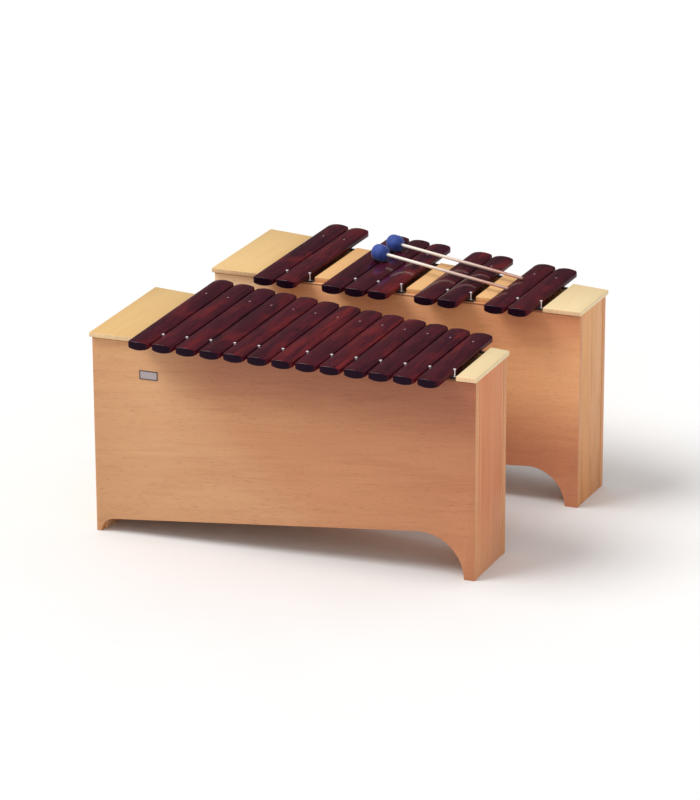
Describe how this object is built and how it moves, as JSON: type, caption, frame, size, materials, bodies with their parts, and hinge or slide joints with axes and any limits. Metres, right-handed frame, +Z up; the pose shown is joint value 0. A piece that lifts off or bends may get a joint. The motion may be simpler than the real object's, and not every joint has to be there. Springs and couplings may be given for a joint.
{
  "type": "bass xylophone",
  "caption": "Two-unit bass xylophone: tapered resonator boxes with crowned rosewood bars on pins and felt, and a pair of mallets lying on the rear bars.",
  "frame": {"origin": "centre of the whole set's footprint, on the floor", "axes": "+X along the boxes from bass to treble, +Y from the diatonic unit to the chromatic unit behind it, +Z up"},
  "size_m": [1.0708, 1.026, 0.5906],
  "materials": {
    "long_panels": "satin lacquered beech veneer, grain along the box",
    "end_boards": "satin lacquered beech, upright grain",
    "pale_boards": "satin lacquered pale maple",
    "inner_wood": "unfinished plywood",
    "rosewood": "oiled dark rosewood",
    "felt": "pressed felt",
    "sleeve_rubber": "matt",
    "nickel": "polished nickel plate",
    "plate": "satin, dark frame",
    "peg": "satin",
    "mallet_shaft": "satin lacquered",
    "mallet_head": "matt, dense"
  },
  "bodies": {
    "diatonic_box": {"front_panel_a": "long_panels", "rear_panel_a": "long_panels", "bass_end_a": "end_boards", "treble_end_a": "end_boards", "bass_cap_a": "pale_boards", "treble_cap_a": "pale_boards", "corner_posts_a": "inner_wood", "chamber_floor_a": "inner_wood", "partitions_a": "inner_wood", "felt_strips_a": "felt", "front_pins_a": "nickel", "rear_pins_a": "nickel", "pin_sleeves_a": "sleeve_rubber", "name_plate": "plate", "end_peg": "peg"},
    "chromatic_box": {"front_panel_b": "long_panels", "rear_panel_b": "long_panels", "bass_end_b": "end_boards", "treble_end_b": "end_boards", "bass_cap_b": "pale_boards", "treble_cap_b": "pale_boards", "gap_board_1": "pale_boards", "gap_board_2": "pale_boards", "gap_board_3": "pale_boards", "corner_posts_b": "inner_wood", "chamber_floor_b": "inner_wood", "partitions_b": "inner_wood", "felt_strips_b": "felt", "front_pins_b": "nickel", "rear_pins_b": "nickel", "pin_sleeves_b": "sleeve_rubber", "bar_fs3": "rosewood", "bar_gs3": "rosewood", "bar_fs4": "rosewood"},
    "bar_c3_body": {"bar_c3": "rosewood"},
    "bar_d3_body": {"bar_d3": "rosewood"},
    "bar_e3_body": {"bar_e3": "rosewood"},
    "bar_f3_body": {"bar_f3": "rosewood"},
    "bar_g3_body": {"bar_g3": "rosewood"},
    "bar_a3_body": {"bar_a3": "rosewood"},
    "bar_b3_body": {"bar_b3": "rosewood"},
    "bar_c4_body": {"bar_c4": "rosewood"},
    "bar_d4_body": {"bar_d4": "rosewood"},
    "bar_e4_body": {"bar_e4": "rosewood"},
    "bar_f4_body": {"bar_f4": "rosewood"},
    "bar_g4_body": {"bar_g4": "rosewood"},
    "bar_a4_body": {"bar_a4": "rosewood"},
    "bar_cs3_body": {"bar_cs3": "rosewood"},
    "bar_ds3_body": {"bar_ds3": "rosewood"},
    "bar_as3_body": {"bar_as3": "rosewood"},
    "bar_cs4_body": {"bar_cs4": "rosewood"},
    "bar_ds4_body": {"bar_ds4": "rosewood"},
    "bar_gs4_body": {"bar_gs4": "rosewood"},
    "mallet_1": {"mallet_1_shaft": "mallet_shaft", "mallet_1_head": "mallet_head"},
    "mallet_2": {"mallet_2_shaft": "mallet_shaft", "mallet_2_head": "mallet_head"}
  },
  "joints": [
    {"name": "chromatic_box_slide", "type": "slide", "parent": "diatonic_box", "child": "chromatic_box", "axis": [0, 1, 0], "range_m": [-0.03, 0.3]},
    {"name": "bar_c3_lift", "type": "slide", "parent": "diatonic_box", "child": "bar_c3_body", "axis": [0, 0, 1], "range_m": [0, 0.06]},
    {"name": "bar_d3_lift", "type": "slide", "parent": "diatonic_box", "child": "bar_d3_body", "axis": [0, 0, 1], "range_m": [0, 0.06]},
    {"name": "bar_e3_lift", "type": "slide", "parent": "diatonic_box", "child": "bar_e3_body", "axis": [0, 0, 1], "range_m": [0, 0.06]},
    {"name": "bar_f3_lift", "type": "slide", "parent": "diatonic_box", "child": "bar_f3_body", "axis": [0, 0, 1], "range_m": [0, 0.06]},
    {"name": "bar_g3_lift", "type": "slide", "parent": "diatonic_box", "child": "bar_g3_body", "axis": [0, 0, 1], "range_m": [0, 0.06]},
    {"name": "bar_a3_lift", "type": "slide", "parent": "diatonic_box", "child": "bar_a3_body", "axis": [0, 0, 1], "range_m": [0, 0.06]},
    {"name": "bar_b3_lift", "type": "slide", "parent": "diatonic_box", "child": "bar_b3_body", "axis": [0, 0, 1], "range_m": [0, 0.06]},
    {"name": "bar_c4_lift", "type": "slide", "parent": "diatonic_box", "child": "bar_c4_body", "axis": [0, 0, 1], "range_m": [0, 0.06]},
    {"name": "bar_d4_lift", "type": "slide", "parent": "diatonic_box", "child": "bar_d4_body", "axis": [0, 0, 1], "range_m": [0, 0.06]},
    {"name": "bar_e4_lift", "type": "slide", "parent": "diatonic_box", "child": "bar_e4_body", "axis": [0, 0, 1], "range_m": [0, 0.06]},
    {"name": "bar_f4_lift", "type": "slide", "parent": "diatonic_box", "child": "bar_f4_body", "axis": [0, 0, 1], "range_m": [0, 0.06]},
    {"name": "bar_g4_lift", "type": "slide", "parent": "diatonic_box", "child": "bar_g4_body", "axis": [0, 0, 1], "range_m": [0, 0.06]},
    {"name": "bar_a4_lift", "type": "slide", "parent": "diatonic_box", "child": "bar_a4_body", "axis": [0, 0, 1], "range_m": [0, 0.06]},
    {"name": "bar_cs3_lift", "type": "slide", "parent": "chromatic_box", "child": "bar_cs3_body", "axis": [0, 0, 1], "range_m": [0, 0.06]},
    {"name": "bar_ds3_lift", "type": "slide", "parent": "chromatic_box", "child": "bar_ds3_body", "axis": [0, 0, 1], "range_m": [0, 0.06]},
    {"name": "bar_as3_lift", "type": "slide", "parent": "chromatic_box", "child": "bar_as3_body", "axis": [0, 0, 1], "range_m": [0, 0.008]},
    {"name": "bar_cs4_lift", "type": "slide", "parent": "chromatic_box", "child": "bar_cs4_body", "axis": [0, 0, 1], "range_m": [0, 0.005]},
    {"name": "bar_ds4_lift", "type": "slide", "parent": "chromatic_box", "child": "bar_ds4_body", "axis": [0, 0, 1], "range_m": [0, 0.003]},
    {"name": "bar_gs4_lift", "type": "slide", "parent": "chromatic_box", "child": "bar_gs4_body", "axis": [0, 0, 1], "range_m": [0, 0.06]},
    {"name": "mallet_1_lift", "type": "slide", "parent": "chromatic_box", "child": "mallet_1", "axis": [0, 0, 1], "range_m": [0, 0.15]},
    {"name": "mallet_2_lift", "type": "slide", "parent": "chromatic_box", "child": "mallet_2", "axis": [0, 0, 1], "range_m": [0, 0.15]}
  ]
}
